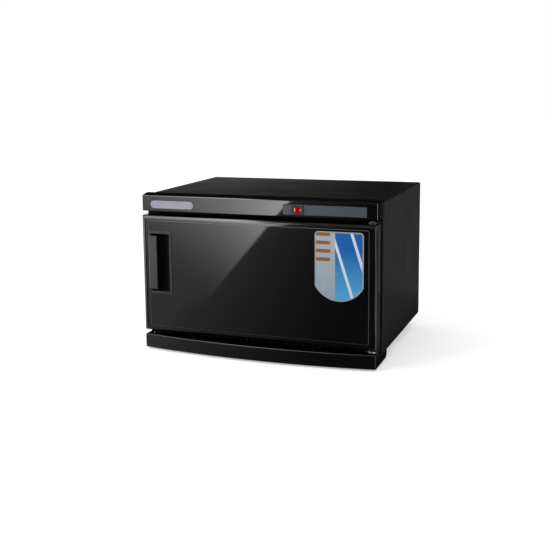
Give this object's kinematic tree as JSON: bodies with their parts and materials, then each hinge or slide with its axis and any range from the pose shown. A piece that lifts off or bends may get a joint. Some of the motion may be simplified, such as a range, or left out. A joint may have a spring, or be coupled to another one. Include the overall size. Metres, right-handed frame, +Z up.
{
  "type": "hot towel cabinet",
  "caption": "Countertop hot-towel warmer and steriliser: black steel case on feet, side-hung bevelled door with recessed handle, fascia with rocker switch, and pull-out drip tray.",
  "frame": {"origin": "on the floor under the middle of the overall box", "axes": "+X to the viewer's right, +Y to the rear (the door faces -Y), +Z up"},
  "size_m": [0.3536, 0.283, 0.2278],
  "materials": {
    "case_paint": "satin",
    "plated_steel": "satin",
    "gloss_black": "gloss",
    "black_plastic": "satin",
    "white_plastic": "satin",
    "badge_metal": "satin",
    "inlay_film": "satin",
    "red_plastic": "gloss",
    "rubber": "matte",
    "alloy": "satin",
    "chrome": "polished",
    "guard_steel": "satin",
    "lamp_glass": "gloss",
    "insulation": "matte"
  },
  "bodies": {
    "cabinet": {"outer_case": "case_paint", "rear_panel": "case_paint", "upper_hinge_bracket": "case_paint", "lower_hinge_bracket": "case_paint", "tray_rail_left": "case_paint", "tray_rail_right": "case_paint", "base_panel": "plated_steel", "base_screws": "plated_steel", "rear_screws": "plated_steel", "foot_screws": "plated_steel", "fascia_screws": "plated_steel", "hinge_screws": "plated_steel", "tray_rail_screws": "plated_steel", "electrics_shelf": "plated_steel", "top_fascia": "gloss_black", "front_frame": "black_plastic", "switch_housing": "black_plastic", "magnet_catch": "black_plastic", "door_switch": "white_plastic", "lamp_holder_left": "white_plastic", "lamp_holder_right": "white_plastic", "lamp_ballast": "white_plastic", "terminal_block": "white_plastic", "thermostat": "white_plastic", "badge_plate": "badge_metal", "control_inlay": "inlay_film", "foot_front_left": "rubber", "foot_front_right": "rubber", "foot_rear_left": "rubber", "foot_rear_right": "rubber", "cord_inlet": "rubber", "heating_wire": "rubber", "chamber_liner": "alloy", "rack_rail_left": "alloy", "rack_rail_right": "alloy", "lamp_caps": "alloy", "thermal_fuse": "alloy", "towel_rack": "chrome", "upper_hinge_pin": "chrome", "lower_hinge_pin": "chrome", "lamp_guard": "guard_steel", "lamp_tube": "lamp_glass", "insulation_jacket": "insulation"},
    "door": {"door_front": "gloss_black", "door_handle": "black_plastic", "door_inner_panel": "white_plastic", "door_insulation": "insulation", "door_gasket": "rubber", "door_screws": "plated_steel", "upper_hinge_bush": "black_plastic", "lower_hinge_bush": "black_plastic", "strike_plate": "plated_steel"},
    "rocker": {"switch_rocker": "red_plastic"},
    "tray": {"drip_tray": "gloss_black"},
    "plunger": {"door_switch_plunger": "white_plastic"}
  },
  "joints": [
    {"name": "door_hinge", "type": "hinge", "parent": "cabinet", "child": "door", "pos_m": [0.1655, -0.1215, 0.11315], "axis": [0, 0, 1], "range_deg": [0, 120]},
    {"name": "rocker_tip", "type": "hinge", "parent": "cabinet", "child": "rocker", "pos_m": [0.0626, -0.1243, 0.2138], "axis": [0, 0, -1], "range_deg": [0, 18]},
    {"name": "tray_slide", "type": "slide", "parent": "cabinet", "child": "tray", "axis": [0, -1, 0], "range_m": [0, 0.08]},
    {"name": "plunger_slide", "type": "slide", "parent": "cabinet", "child": "plunger", "axis": [0, -1, 0], "range_m": [0, 0.003]}
  ],
  "couplings": [
    {"joint": "plunger_slide", "follows": "door_hinge", "m_per_rad": 0.00143}
  ]
}
